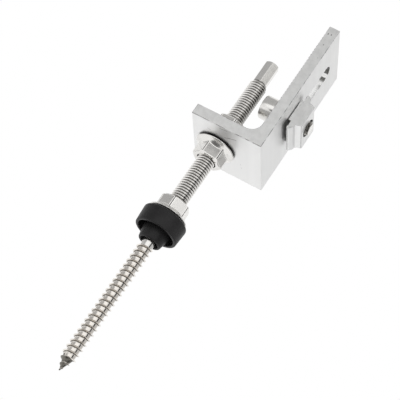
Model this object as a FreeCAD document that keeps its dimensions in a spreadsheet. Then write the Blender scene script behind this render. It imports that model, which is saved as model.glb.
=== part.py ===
import FreeCAD, Part
import math
import os
import re
import Sketcher

# Hanger bolt for a solar rail
# A wood thread goes down into the rafter, a rubber seal closes the hole in the roof sheet, and an angle
# bracket stands on the machine thread above it. The rail nut on the bracket's tall leg takes the rail.
# Lengths are in millimetres. The origin is on the bolt's axis in the plane of the roof. +Z runs up the
# bolt, and +X runs from the bolt to the bracket's tall leg.

SIZES = {
    # Hanger bolt
    "bolt_length": 200,
    "timber_length": 85,
    "timber_major": 8.5,
    "timber_core": 6.2,
    "timber_pitch": 3.1,
    "ridge_width": 1.3,
    "point_length": 8,
    "point_tip": 0.3,
    "tip_ridge": 0.25,
    "timber_stop": 8,
    "neck_stop": 5,
    "neck_diameter": 6.6,
    "machine_diameter": 9.85,
    "machine_chamfer": 0.7,
    "drive_across": 7,
    "drive_length": 13,
    "drive_taper": 2.5,
    "drive_chamfer": 0.2,
    "crown_angle": 30,
    "bolt_turn": 34.5,
    # Roof seal
    "seal_height": 10,
    "seal_shoulder": 24.5,
    "seal_rim": 23.5,
    "seal_wall": 1.6,
    "seal_groove": 6,
    "collar_root": 14.5,
    "collar_end": 12.6,
    "collar_drop": 6,
    "seal_bevel": 1.0,
    "seal_clearance": 0.05,
    # Flange nuts
    "nut_across": 15,
    "nut_height": 10,
    "nut_chamfer": 0.9,
    "flange_diameter": 21.8,
    "flange_edge": 1.4,
    "flange_rise": 3.2,
    "thread_clearance": 0.05,
    "seal_nut_turn": 33.5,
    "lower_nut_turn": 14.5,
    "upper_nut_turn": 51.5,
    # Angle bracket
    "bracket_height": 58,
    "bracket_width": 44,
    "bolt_offset": 26.5,
    "foot_length": 40,
    "foot_thick": 6,
    "leg_height": 80,
    "leg_thick": 6,
    "inner_round": 6,
    "bolt_hole": 11,
    "slot_width": 9,
    "slot_low": 33,
    "slot_high": 66,
    "tooth_pitch": 2,
    "tooth_depth": 0.5,
    "tooth_land": 0.15,
    "inner_teeth_low": 28,
    "inner_teeth_high": 77,
    "outer_teeth_low": 43,
    "outer_teeth_high": 77.5,
    # Cap screw
    "screw_diameter": 7.9,
    "screw_length": 20,
    "screw_chamfer": 0.8,
    "screw_standoff": 4,
    "head_diameter": 13,
    "head_height": 8,
    "head_chamfer": 0.6,
    "socket_across": 6,
    "socket_depth": 4.5,
    # Rail nut
    "rail_nut_gap": 0.3,
    "rail_nut_length": 22,
    "rail_nut_thick": 8.1,
    "boss_width": 13,
    "notch_depth": 1.55,
    "hook_height": 0.35,
    "hook_width": 1.2,
    "ear_span": 22,
    "ear_edge": 1.6,
    "ear_slope": 1.7,
    "ear_back": 1.0,
    "outer_width": 12.6,
    "flank_round": 1.5,
    "countersink": 0.8,
}

THREAD_STEPS = 16
SEED_RADIUS = 50.0

doc = FreeCAD.newDocument("HangerBolt")
sheet = doc.addObject("Spreadsheet::Sheet", "Sizes")


def fill_sheet():
    """One cell for each driving size."""
    for row, (alias, number) in enumerate(SIZES.items(), 1):
        sheet.set(f"A{row}", str(number))
        sheet.setAlias(f"A{row}", alias)
    doc.recompute()


def size(alias):
    """The number that the sheet holds for one size."""
    return float(sheet.get(alias))


def bound(expression):
    """The expression with the sheet's name before each size."""
    return re.sub(r"\b([a-z]\w*)\b(?!\()", r"Sizes.\1", expression)


# Sketches and features

def new_body(label):
    """A body whose label is the name of its file."""
    body = doc.addObject("PartDesign::Body", label)
    body.Label = label
    return body


def new_sketch(body, name, plane, lift="0"):
    """A sketch on one of the body's own origin planes, lifted off it."""
    sketch = body.newObject("Sketcher::SketchObject", name)
    support = [feature for feature in body.Origin.OriginFeatures if feature.Role == plane][0]
    sketch.AttachmentSupport = [(support, "")]
    sketch.MapMode = "FlatFace"
    sketch.setExpression("AttachmentOffset.Base.z", bound(lift))
    return sketch


def hold(sketch, geometry, point, across, up):
    """Hold a point of the sketch at two distances from the sketch's origin."""
    for kind, expression in (("DistanceX", across), ("DistanceY", up)):
        number = sketch.addConstraint(Sketcher.Constraint(kind, -1, 1, geometry, point, 1.0))
        sketch.setExpression(f"Constraints[{number}]", bound(expression))


def outline(sketch, corners):
    """A closed outline through corners that are given as expressions."""
    count = len(corners)
    first = sketch.GeometryCount
    ring = []
    for number in range(count):
        angle = 2 * math.pi * number / count
        ring.append(FreeCAD.Vector(SEED_RADIUS * math.cos(angle), SEED_RADIUS * math.sin(angle), 0))
    for number in range(count):
        sketch.addGeometry(Part.LineSegment(ring[number], ring[(number + 1) % count]), False)
    for number in range(count):
        following = first + (number + 1) % count
        sketch.addConstraint(Sketcher.Constraint("Coincident", first + number, 2, following, 1))
    for number, (across, up) in enumerate(corners):
        hold(sketch, first + number, 1, across, up)


def hexagon(sketch, across):
    """A hexagon about the sketch's origin, with corners at its left and right."""
    corner = f"{across} / sqrt(3)"
    half = f"{across} / sqrt(3) / 2"
    flat = f"{across} / 2"
    outline(sketch, [
        (corner, "0"),
        (half, flat),
        (f"-{half}", flat),
        (f"-{corner}", "0"),
        (f"-{half}", f"-{flat}"),
        (half, f"-{flat}"),
    ])


def circle(sketch, diameter, across="0", up="0"):
    """A round outline."""
    geometry = sketch.addGeometry(Part.Circle(FreeCAD.Vector(), FreeCAD.Vector(0, 0, 1), SEED_RADIUS), False)
    hold(sketch, geometry, 3, across, up)
    number = sketch.addConstraint(Sketcher.Constraint("Diameter", geometry, SEED_RADIUS))
    sketch.setExpression(f"Constraints[{number}]", bound(diameter))


def upright_slot(sketch, width, low, high):
    """A slot with round ends that stands on the sketch's vertical axis."""
    radius = size(width) / 2
    z_axis = FreeCAD.Vector(0, 0, 1)
    bottom = FreeCAD.Vector(0, size(low), 0)
    top = FreeCAD.Vector(0, size(high), 0)
    side = FreeCAD.Vector(radius, 0, 0)
    lower = sketch.addGeometry(Part.ArcOfCircle(Part.Circle(bottom, z_axis, radius), math.pi, 2 * math.pi))
    right = sketch.addGeometry(Part.LineSegment(bottom + side, top + side))
    upper = sketch.addGeometry(Part.ArcOfCircle(Part.Circle(top, z_axis, radius), 0, math.pi))
    left = sketch.addGeometry(Part.LineSegment(top - side, bottom - side))
    sketch.addConstraint(Sketcher.Constraint("Tangent", lower, 2, right, 1))
    sketch.addConstraint(Sketcher.Constraint("Tangent", right, 2, upper, 1))
    sketch.addConstraint(Sketcher.Constraint("Tangent", upper, 2, left, 1))
    sketch.addConstraint(Sketcher.Constraint("Tangent", left, 2, lower, 1))
    hold(sketch, lower, 3, "0", low)
    hold(sketch, upper, 3, "0", high)
    number = sketch.addConstraint(Sketcher.Constraint("Radius", lower, radius))
    sketch.setExpression(f"Constraints[{number}]", bound(f"{width} / 2"))


def turned(body, name, corners):
    """A solid turned about the body's Z axis."""
    sketch = new_sketch(body, name + "_outline", "XZ_Plane")
    outline(sketch, corners)
    feature = body.newObject("PartDesign::Revolution", name)
    feature.Profile = sketch
    feature.ReferenceAxis = (sketch, ["V_Axis"])
    feature.Angle = 360
    doc.recompute()
    return feature


def turned_off(body, name, corners):
    """A cut turned about the body's Z axis."""
    sketch = new_sketch(body, name + "_outline", "XZ_Plane")
    outline(sketch, corners)
    feature = body.newObject("PartDesign::Groove", name)
    feature.Profile = sketch
    feature.ReferenceAxis = (sketch, ["V_Axis"])
    feature.Angle = 360
    confirm_cut(feature)
    return feature


def pad(body, name, sketch, length, both_ways=False):
    """A sketch drawn out into a solid."""
    feature = body.newObject("PartDesign::Pad", name)
    feature.Profile = sketch
    feature.Midplane = both_ways
    feature.setExpression("Length", bound(length))
    doc.recompute()
    return feature


def pocket(body, name, sketch, depth, both_ways=False, turned_round=False):
    """A sketch cut into the solid to a depth."""
    feature = body.newObject("PartDesign::Pocket", name)
    feature.Profile = sketch
    feature.Midplane = both_ways
    feature.Reversed = turned_round
    feature.setExpression("Length", bound(depth))
    confirm_cut(feature)
    return feature


def confirm_cut(feature):
    """Stop the build if a cut takes nothing away."""
    doc.recompute()
    before = feature.BaseFeature.Shape.Volume
    if feature.Shape.Volume > before - 0.01:
        raise RuntimeError(feature.Name + " cuts nothing")


def edge_names(feature, wanted):
    """The names of the feature's edges that the test wants."""
    edges = feature.Shape.Edges
    return [f"Edge{number}" for number, edge in enumerate(edges, 1) if wanted(edge)]


def is_ring(edge, diameter, level):
    """Whether the edge is a circle about Z of this diameter at this level."""
    if not isinstance(edge.Curve, Part.Circle):
        return False
    same_size = abs(2 * edge.Curve.Radius - diameter) < 1e-4
    on_axis = math.hypot(edge.Curve.Center.x, edge.Curve.Center.y) < 1e-4
    return same_size and on_axis and abs(edge.Curve.Center.z - level) < 1e-4


def rounded(body, name, wanted, radius):
    """A fillet on the wanted edges of the body."""
    before = body.Tip
    feature = body.newObject("PartDesign::Fillet", name)
    feature.Base = (before, edge_names(before, wanted))
    feature.setExpression("Radius", bound(radius))
    doc.recompute()
    return feature


def bevelled(body, name, wanted, length):
    """A chamfer on the wanted edges of the body."""
    before = body.Tip
    feature = body.newObject("PartDesign::Chamfer", name)
    feature.Base = (before, edge_names(before, wanted))
    feature.setExpression("Size", bound(length))
    doc.recompute()
    return feature


def set_place(thing, across="0", along="0", up="0"):
    """The place of a sub-part in the frame of the whole."""
    for axis, expression in (("x", across), ("y", along), ("z", up)):
        thing.setExpression(f"Placement.Base.{axis}", bound(expression))


# Hanger bolt

def helix_point(step, lift, raised):
    """A point on the wound core, or out on the ridge's crest if raised is 1.

    The core grows from the tip into its full radius over the point, and the ridge grows with it.
    """
    tip = -size("timber_length")
    core = size("timber_core") / 2
    tip_radius = size("point_tip") / 2
    full_ridge = size("timber_major") / 2 - core
    turn = step / THREAD_STEPS
    level = tip + size("ridge_width") / 2 + size("timber_pitch") * turn + lift
    grown = min(1.0, (level - tip) / size("point_length"))
    ridge = size("tip_ridge") + (full_ridge - size("tip_ridge")) * grown
    radius = tip_radius + (core - tip_radius) * grown + raised * ridge
    angle = 2 * math.pi * turn
    return FreeCAD.Vector(radius * math.cos(angle), radius * math.sin(angle), level)


def flat_face(*corners):
    """A flat face through its corners."""
    return Part.Face(Part.makePolygon([*corners, corners[0]]))


def strip(below, above):
    """The flat faces between two rows of points, two for each step."""
    faces = []
    for number in range(len(below) - 1):
        following = number + 1
        faces.append(flat_face(below[number], below[following], above[following]))
        faces.append(flat_face(below[number], above[following], above[number]))
    return faces


def screw_end(rim):
    """The flat faces between one turn of the core and the bolt's axis."""
    faces = []
    for first, second in zip(rim, rim[1:]):
        faces.append(flat_face(first, second, level_with(second)))
        faces.append(flat_face(first, level_with(second), level_with(first)))
    return faces


def level_with(point):
    """The point of the bolt's axis at the same level."""
    return FreeCAD.Vector(0, 0, point.z)


def timber_thread_shape():
    """The wood thread: one sharp ridge wound round the core and its point, cut level at the top.

    Strips of flat faces run up the ridge's two flanks and along the core from each turn to the next.
    At each end a screw face and a flat face through the axis close the shell.
    """
    tip = -size("timber_length")
    stop = -size("timber_stop")
    turns = math.ceil((stop - tip) / size("timber_pitch")) + 1
    steps = range(turns * THREAD_STEPS + 1)
    half_ridge = size("ridge_width") / 2
    low = [helix_point(step, -half_ridge, 0) for step in steps]
    crest = [helix_point(step, 0, 1) for step in steps]
    high = [helix_point(step, half_ridge, 0) for step in steps]
    faces = strip(low, crest) + strip(crest, high) + strip(high[:-THREAD_STEPS], low[THREAD_STEPS:])
    faces += screw_end(low[:THREAD_STEPS + 1])
    faces += screw_end(high[-THREAD_STEPS - 1:])
    bottom = [low[0], crest[0], high[0], low[THREAD_STEPS]]
    top = [high[-THREAD_STEPS - 1], low[-1], crest[-1], high[-1]]
    for profile in (bottom, top):
        faces.append(flat_face(level_with(profile[0]), *profile, level_with(profile[-1])))
    shell = Part.Shell(faces)
    shell.sewShape()
    solid = Part.Solid(shell)
    if solid.Volume < 0:
        solid.reverse()
    reach = size("timber_major")
    below_stop = Part.makeBox(2 * reach, 2 * reach, stop - tip, FreeCAD.Vector(-reach, -reach, tip))
    return solid.common(below_stop)


def hanger_bolt():
    """One bolt: wood thread, bare neck, machine-threaded shank and hexagon drive."""
    shank = new_body("shank")
    shank_top = "bolt_length - timber_length - drive_length - drive_taper"
    turned(shank, "shank_blank", [
        ("0", "-timber_stop"),
        ("neck_diameter / 2", "-timber_stop"),
        ("neck_diameter / 2", "-neck_stop - machine_chamfer"),
        ("machine_diameter / 2 - machine_chamfer", "-neck_stop - machine_chamfer"),
        ("machine_diameter / 2", "-neck_stop"),
        ("machine_diameter / 2", shank_top),
        ("drive_across / 2", f"{shank_top} + drive_taper"),
        ("0", f"{shank_top} + drive_taper"),
    ])
    drive_outline = new_sketch(shank, "drive_outline", "XY_Plane", shank_top)
    hexagon(drive_outline, "drive_across")
    pad(shank, "drive", drive_outline, "drive_length + drive_taper")
    top = "bolt_length - timber_length"
    turned_off(shank, "drive_end", [
        ("drive_across / 2 - drive_chamfer", top),
        ("drive_across", top),
        ("drive_across", f"{top} - (drive_across / 2 + drive_chamfer) * tan(crown_angle)"),
    ])
    thread = doc.addObject("Part::Feature", "timber_thread")
    thread.Shape = timber_thread_shape()
    bolt = doc.addObject("Part::Fuse", "hanger_bolt")
    bolt.Base = shank
    bolt.Tool = thread
    bolt.Label = "hanger_bolt"
    turn = FreeCAD.Rotation(FreeCAD.Vector(0, 0, 1), size("bolt_turn"))
    bolt.Placement = FreeCAD.Placement(FreeCAD.Vector(), turn)
    doc.recompute()
    return bolt


# Roof seal

def roof_seal():
    """A rubber cap with a rim, and a collar inside it that goes down into the hole in the roof."""
    seal = new_body("roof_seal")
    bore = "machine_diameter / 2 + seal_clearance"
    turned(seal, "seal_blank", [
        (bore, "-collar_drop"),
        ("collar_end / 2", "-collar_drop"),
        ("collar_root / 2", "0"),
        ("collar_root / 2", "seal_groove"),
        ("seal_rim / 2 - seal_wall", "seal_groove"),
        ("seal_rim / 2 - seal_wall", "0"),
        ("seal_rim / 2", "0"),
        ("seal_shoulder / 2", "seal_height"),
        (bore, "seal_height"),
    ])
    shoulder = size("seal_shoulder")
    height = size("seal_height")
    bevelled(seal, "shoulder_bevel", lambda edge: is_ring(edge, shoulder, height), "seal_bevel")
    end = size("collar_end")
    drop = size("collar_drop")
    bevelled(seal, "collar_bevel", lambda edge: is_ring(edge, end, -drop), "seal_bevel")
    return seal


# Flange nuts

def flange_nut(label):
    """A hexagon nut on a coned flange, with the flange's bearing face at its own level 0."""
    nut = new_body(label)
    hexagon_outline = new_sketch(nut, "hexagon_outline_" + label, "XY_Plane")
    hexagon(hexagon_outline, "nut_across")
    pad(nut, "hexagon_" + label, hexagon_outline, "nut_height")
    turned(nut, "flange_" + label, [
        ("0", "0"),
        ("flange_diameter / 2", "0"),
        ("flange_diameter / 2", "flange_edge"),
        ("nut_across / 2 - nut_chamfer", "flange_rise + nut_chamfer / 2"),
        ("0", "flange_rise + nut_chamfer / 2"),
    ])
    turned_off(nut, "crown_" + label, [
        ("nut_across / 2 - nut_chamfer / 2", "nut_height"),
        ("nut_across", "nut_height"),
        ("nut_across", "nut_height - (nut_across / 2 + nut_chamfer / 2) * tan(crown_angle)"),
    ])
    bore_outline = new_sketch(nut, "bore_outline_" + label, "XY_Plane")
    circle(bore_outline, "machine_diameter + 2 * thread_clearance")
    pocket(nut, "bore_" + label, bore_outline, "nut_height", turned_round=True)
    return nut


# Angle bracket

def tooth_row(bracket, name, face, inward, low, high):
    """A row of level grooves across one face of the leg, cut by one groove and a pattern of it."""
    sketch = new_sketch(bracket, name + "_groove_outline", "XZ_Plane")
    outline(sketch, [
        (f"{face} - ({inward}) * tooth_depth", f"{low} + tooth_land / 2"),
        (f"{face} + ({inward}) * tooth_depth", f"{low} + tooth_pitch / 2"),
        (f"{face} - ({inward}) * tooth_depth", f"{low} + tooth_pitch - tooth_land / 2"),
    ])
    groove = pocket(bracket, name + "_groove", sketch, "2 * bracket_width", both_ways=True)
    before = groove.Shape.Volume
    count = math.floor((size(high) - size(low)) / size("tooth_pitch"))
    pattern = bracket.newObject("PartDesign::LinearPattern", name)
    pattern.Originals = [groove]
    pattern.Direction = (sketch, ["V_Axis"])
    pattern.setExpression("Length", bound(f"({count} - 1) * tooth_pitch"))
    pattern.Occurrences = count
    bracket.Tip = pattern
    doc.recompute()
    if pattern.Shape.Volume > before - 0.01:
        raise RuntimeError(name + " cuts nothing")


def angle_bracket():
    """An extruded angle with a slotted and toothed leg. Its frame lies under the leg's outer face."""
    bracket = new_body("angle_bracket")
    section = new_sketch(bracket, "section", "XZ_Plane")
    outline(section, [
        ("-foot_length", "0"),
        ("0", "0"),
        ("0", "leg_height"),
        ("-leg_thick", "leg_height"),
        ("-leg_thick", "foot_thick"),
        ("-foot_length", "foot_thick"),
    ])
    pad(bracket, "angle", section, "bracket_width", both_ways=True)
    inside = FreeCAD.Vector(-size("leg_thick"), 0, size("foot_thick"))

    def is_inner_corner(edge):
        middle = edge.CenterOfMass
        return math.hypot(middle.x - inside.x, middle.z - inside.z) < 1e-4

    rounded(bracket, "inner_corner", is_inner_corner, "inner_round")
    hole_outline = new_sketch(bracket, "bolt_hole_outline", "XY_Plane")
    circle(hole_outline, "bolt_hole", "-bolt_offset")
    pocket(bracket, "bolt_hole_cut", hole_outline, "foot_thick", turned_round=True)
    slot_outline = new_sketch(bracket, "slot_outline", "YZ_Plane")
    upright_slot(slot_outline, "slot_width", "slot_low", "slot_high")
    pocket(bracket, "slot", slot_outline, "leg_thick")
    tooth_row(bracket, "inner_teeth", "-leg_thick", "1", "inner_teeth_low", "inner_teeth_high")
    tooth_row(bracket, "outer_teeth", "0", "-1", "outer_teeth_low", "outer_teeth_high")
    set_place(bracket, "bolt_offset", "0", "bracket_height")
    return bracket


# Cap screw

def cap_screw():
    """A socket head screw whose head seats at its own level 0, with the shank above."""
    screw = new_body("cap_screw")
    turned(screw, "screw_blank", [
        ("0", "-head_height"),
        ("head_diameter / 2 - head_chamfer", "-head_height"),
        ("head_diameter / 2", "-head_height + head_chamfer"),
        ("head_diameter / 2", "0"),
        ("screw_diameter / 2", "0"),
        ("screw_diameter / 2", "screw_length - screw_chamfer"),
        ("screw_diameter / 2 - screw_chamfer", "screw_length"),
        ("0", "screw_length"),
    ])
    socket_outline = new_sketch(screw, "socket_outline", "XY_Plane", "-head_height")
    hexagon(socket_outline, "socket_across")
    pocket(screw, "socket", socket_outline, "socket_depth", turned_round=True)
    screw.Placement = FreeCAD.Placement(FreeCAD.Vector(), FreeCAD.Rotation(FreeCAD.Vector(0, 1, 0), 90))
    set_place(screw, "bolt_offset - leg_thick - screw_standoff", "0", "bracket_height + slot_low")
    return screw


# Rail nut

def rail_nut():
    """An extruded nut whose two hooked ears grip the lips of the rail. Its boss faces the leg."""
    nut = new_body("rail_nut")
    half = [
        ("0", "boss_width / 2"),
        ("notch_depth", "boss_width / 2"),
        ("notch_depth", "ear_span / 2 - hook_width"),
        ("notch_depth - hook_height", "ear_span / 2 - hook_width"),
        ("notch_depth - hook_height", "ear_span / 2"),
        ("notch_depth - hook_height + ear_edge", "ear_span / 2"),
        ("notch_depth - hook_height + ear_edge + ear_slope", "ear_span / 2 - ear_slope"),
        ("notch_depth - hook_height + ear_edge + ear_slope", "ear_span / 2 - ear_slope - ear_back"),
        ("rail_nut_thick", "outer_width / 2"),
    ]
    mirrored = [(across, f"-({up})") for across, up in reversed(half)]
    section = new_sketch(nut, "nut_section", "XZ_Plane")
    outline(section, half + mirrored)
    pad(nut, "nut_bar", section, "rail_nut_length", both_ways=True)
    flank = size("notch_depth") - size("hook_height") + size("ear_edge") + size("ear_slope")
    root = size("ear_span") / 2 - size("ear_slope") - size("ear_back")

    def is_flank_root(edge):
        middle = edge.CenterOfMass
        return abs(middle.x - flank) < 1e-4 and abs(abs(middle.z) - root) < 1e-4

    rounded(nut, "flank_rounds", is_flank_root, "flank_round")
    hole_outline = new_sketch(nut, "screw_hole_outline", "YZ_Plane")
    circle(hole_outline, "screw_diameter + 2 * thread_clearance")
    pocket(nut, "screw_hole", hole_outline, "rail_nut_thick", turned_round=True)
    hole = size("screw_diameter") + 2 * size("thread_clearance")
    face = size("rail_nut_thick")

    def is_mouth(edge):
        round_edge = isinstance(edge.Curve, Part.Circle)
        return round_edge and abs(2 * edge.Curve.Radius - hole) < 1e-4 and abs(edge.Curve.Center.x - face) < 1e-4

    bevelled(nut, "screw_hole_mouth", is_mouth, "countersink")
    set_place(nut, "bolt_offset + rail_nut_gap", "0", "bracket_height + slot_low")
    return nut


def nuts_in_place():
    """The three flange nuts: one on the seal, one under the bracket's foot and one on top of it."""
    upright = FreeCAD.Vector(0, 0, 1)
    seal_nut = flange_nut("seal_nut")
    seal_nut.Placement.Rotation = FreeCAD.Rotation(upright, size("seal_nut_turn"))
    set_place(seal_nut, up="seal_height")
    lower_nut = flange_nut("lower_nut")
    turned_over = FreeCAD.Rotation(FreeCAD.Vector(1, 0, 0), 180)
    lower_nut.Placement.Rotation = FreeCAD.Rotation(upright, size("lower_nut_turn")) * turned_over
    set_place(lower_nut, up="bracket_height")
    upper_nut = flange_nut("upper_nut")
    upper_nut.Placement.Rotation = FreeCAD.Rotation(upright, size("upper_nut_turn"))
    set_place(upper_nut, up="bracket_height + foot_thick")
    return [seal_nut, lower_nut, upper_nut]


def check_document():
    """Stop if any object failed to build."""
    for thing in doc.Objects:
        if "Invalid" in thing.State or "Error" in thing.State:
            raise RuntimeError(f"{thing.Name}: {thing.State}")


def write_parts(pieces):
    """One file for each sub-part, under its label."""
    for piece in pieces:
        if piece.Shape.isNull() or not piece.Shape.isValid():
            raise RuntimeError(piece.Label + " has no valid shape")
    os.makedirs("parts", exist_ok=True)
    for piece in pieces:
        piece.Shape.exportStep(f"parts/{piece.Label}.step")


fill_sheet()
pieces = [hanger_bolt(), roof_seal(), *nuts_in_place(), angle_bracket(), cap_screw(), rail_nut()]
doc.recompute()
check_document()
write_parts(pieces)
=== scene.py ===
# %% [markdown]
# # A hanger bolt for a solar rail
# A hanger bolt carries a solar rail above a roof. Its wood thread goes down into the rafter, a rubber
# seal closes the hole in the roof sheet, and an aluminium angle stands on the machine thread above.
# A small toothed nut on the angle's tall leg takes the rail.
# The solids come from the CAD model. This file dresses them for a picture: it winds real threads,
# rounds the edges that catch the light, and gives each metal and the rubber a finish of its own.

# %% Load the CAD frame
import math
import bpy
from mathutils import Matrix, Vector


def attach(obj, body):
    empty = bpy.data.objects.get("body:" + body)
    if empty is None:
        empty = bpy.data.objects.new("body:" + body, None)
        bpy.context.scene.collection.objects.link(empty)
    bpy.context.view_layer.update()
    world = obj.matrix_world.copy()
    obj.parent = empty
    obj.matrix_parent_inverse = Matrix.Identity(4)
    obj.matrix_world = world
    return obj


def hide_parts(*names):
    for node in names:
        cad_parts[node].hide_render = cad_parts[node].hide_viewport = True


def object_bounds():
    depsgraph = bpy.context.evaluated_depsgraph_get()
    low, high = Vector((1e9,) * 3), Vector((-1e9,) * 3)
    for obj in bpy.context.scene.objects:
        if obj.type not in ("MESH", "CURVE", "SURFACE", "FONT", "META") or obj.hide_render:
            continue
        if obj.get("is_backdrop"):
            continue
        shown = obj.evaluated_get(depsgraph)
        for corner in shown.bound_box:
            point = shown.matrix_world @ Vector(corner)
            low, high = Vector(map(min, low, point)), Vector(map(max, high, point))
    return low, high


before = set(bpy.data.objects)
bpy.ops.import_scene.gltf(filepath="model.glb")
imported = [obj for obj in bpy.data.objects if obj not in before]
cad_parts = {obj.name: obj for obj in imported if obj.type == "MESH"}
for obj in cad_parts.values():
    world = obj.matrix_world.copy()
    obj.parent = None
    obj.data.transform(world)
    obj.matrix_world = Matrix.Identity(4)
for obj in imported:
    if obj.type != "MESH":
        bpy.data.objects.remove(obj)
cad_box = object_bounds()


def in_millimetres(corners):
    """Corners of a box in metres, as rounded millimetres."""
    return [[round(1000 * number, 2) for number in corner] for corner in corners]


print("nodes:", ", ".join(sorted(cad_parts)))
print("whole part in millimetres:", in_millimetres(cad_box))

# %% [markdown]
# ## The camera
# The photograph was taken from about 80 centimetres away with a long lens, so parallel edges
# stay nearly parallel. The camera stands below the level of the roof and looks up past the seal at the
# underside of the angle, and it is rolled so that the bolt crosses the picture from corner to corner.
# A camera in Blender looks along its own -Z. Three turns put it in place: a roll about the line of sight,
# a tilt up from straight down, and a turn about the world's upright axis. Matrices work from right to left,
# so the roll is written last.

# %% Camera
CAMERA_PLACE = (0.234633, -0.697631, -0.288978)
CAMERA_TURN = 17.9068
CAMERA_TILT = 90 + 23.3375
CAMERA_ROLL = 34.7645

scene = bpy.context.scene
camera_data = bpy.data.cameras.new("camera")
camera_data.lens = 143.77
camera_data.sensor_width = 36.0
camera = bpy.data.objects.new("camera", camera_data)
scene.collection.objects.link(camera)


def about(axis, degrees):
    """A turn about one of the world's axes."""
    return Matrix.Rotation(math.radians(degrees), 4, axis)


camera_turns = about("Z", CAMERA_TURN) @ about("X", CAMERA_TILT) @ about("Z", CAMERA_ROLL)
camera.matrix_world = Matrix.Translation(CAMERA_PLACE) @ camera_turns
bpy.context.scene.camera = camera
print("camera looks along", [round(number, 3) for number in -camera.matrix_world.to_3x3().col[2]])

# %% [markdown]
# ## A short way to write shader maths
# A finish is a web of small nodes. Wiring each of them by hand hides the idea, so a Web keeps the nodes and
# a Wire stands for one output in it. Wires can be added, multiplied and compared like numbers, and each
# operation adds the Math node that does it. Everything else goes through one method, which takes
# the node's type, its settings and its inputs. A Finish is the web of a glossy material.
# Patterns read Object coordinates, in metres. The pieces never move inside their objects, so a pattern
# stays where it was put, however the object is turned.

# %% Wires and finishes

class Wire:
    """One output of a node that can take part in sums."""

    def __init__(self, web, socket):
        self.web = web
        self.socket = socket

    def maths(self, operation, *values):
        return self.web.node("ShaderNodeMath", {"operation": operation}, dict(enumerate(values)))

    def __add__(self, other):
        return self.maths("ADD", self, other)

    __radd__ = __add__

    def __mul__(self, other):
        return self.maths("MULTIPLY", self, other)

    __rmul__ = __mul__

    def __sub__(self, other):
        return self.maths("SUBTRACT", self, other)

    def __rsub__(self, other):
        return self.maths("SUBTRACT", other, self)

    def __pow__(self, other):
        return self.maths("POWER", self, other)

    def larger(self, other):
        return self.maths("MAXIMUM", self, other)

    def smaller(self, other):
        return self.maths("MINIMUM", self, other)

    def limited(self, low, high):
        """0 below low and 1 above high, with a smooth rise between them."""
        settings = {"interpolation_type": "SMOOTHSTEP"}
        inputs = {"Value": self, "From Min": low, "From Max": high}
        return self.web.node("ShaderNodeMapRange", settings, inputs)


class Web:
    """The nodes of a world or a material."""

    def __init__(self, owner):
        owner.use_nodes = True
        self.nodes = owner.node_tree.nodes
        self.links = owner.node_tree.links

    def feed(self, socket, value):
        """Put a number, a colour or a wire on one input."""
        if isinstance(value, Wire):
            self.links.new(value.socket, socket)
        elif isinstance(value, tuple) and len(value) == 3 and socket.type == "RGBA":
            socket.default_value = (*value, 1.0)
        else:
            socket.default_value = value

    def node(self, kind, settings=None, inputs=None, output=0):
        """A new node: its type, its settings, and the values or wires of its inputs."""
        made = self.nodes.new(kind)
        for name, value in (settings or {}).items():
            setattr(made, name, value)
        for name, value in (inputs or {}).items():
            self.feed(made.inputs[name], value)
        return Wire(self, made.outputs[output]) if made.outputs else None

    def place(self):
        """The point on the piece, in metres."""
        return self.node("ShaderNodeTexCoord", output="Object")


class Finish(Web):
    """A material with one glossy surface, and the web of nodes that feeds it."""

    def __init__(self, name, **even):
        self.material = bpy.data.materials.new(name)
        super().__init__(self.material)
        self.surface = self.nodes["Principled BSDF"]
        for socket, value in even.items():
            self.feed(self.surface.inputs[socket.replace("_", " ")], value)

    def along(self, axis):
        """One coordinate of the point on the piece."""
        return self.node("ShaderNodeSeparateXYZ", inputs={"Vector": self.place()}, output=axis)

    def stretched(self, scale):
        """The point on the piece, stretched by a scale for each axis."""
        return self.node("ShaderNodeMapping", inputs={"Vector": self.place(), "Scale": scale})

    def noise(self, vector, scale, detail=3.0, roughness=0.55):
        """Soft random patches between 0 and 1."""
        inputs = {"Vector": vector, "Scale": scale, "Detail": detail, "Roughness": roughness}
        return self.node("ShaderNodeTexNoise", inputs=inputs)

    def mixed(self, share, first, second):
        """One colour that turns into another as the share goes from 0 to 1."""
        inputs = {0: share, 6: first, 7: second}
        return self.node("ShaderNodeMix", {"data_type": "RGBA"}, inputs, output=2)

    def bumped(self, height, distance, strength):
        """Feed the surface's Normal with a height in parts of the distance."""
        inputs = {"Height": height, "Distance": distance, "Strength": strength}
        self.feed(self.surface.inputs["Normal"], self.node("ShaderNodeBump", inputs=inputs))

    def coloured(self, colour):
        self.feed(self.surface.inputs["Base Color"], colour)

    def roughened(self, roughness):
        self.feed(self.surface.inputs["Roughness"], roughness)

# %% [markdown]
# ## Light and floor
# The photograph is a plain product shot in a white tent: there is no hard shadow, and the metal mirrors
# white on most sides. The world makes the tent. It is a little darker as light than it is for the camera and
# for mirrored rays, so that pale surfaces keep their tone in front of a white background.

# %% The white tent
scene.view_settings.view_transform = "Standard"

TENT_FILL = 0.92
world = bpy.data.worlds.new("white_tent")
scene.world = world
tent = Web(world)
tent.nodes.clear()
seen = tent.node("ShaderNodeLightPath", output="Is Camera Ray")
for kind_of_ray in ("Is Glossy Ray", "Is Transmission Ray"):
    seen = seen.larger(tent.node("ShaderNodeLightPath", output=kind_of_ray))
tent_light = tent.node("ShaderNodeBackground", inputs={
    "Color": (1.0, 1.0, 1.0),
    "Strength": TENT_FILL + (1.0 - TENT_FILL) * seen,
})
tent.node("ShaderNodeOutputWorld", inputs={"Surface": tent_light})
print("tent light:", TENT_FILL)

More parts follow.
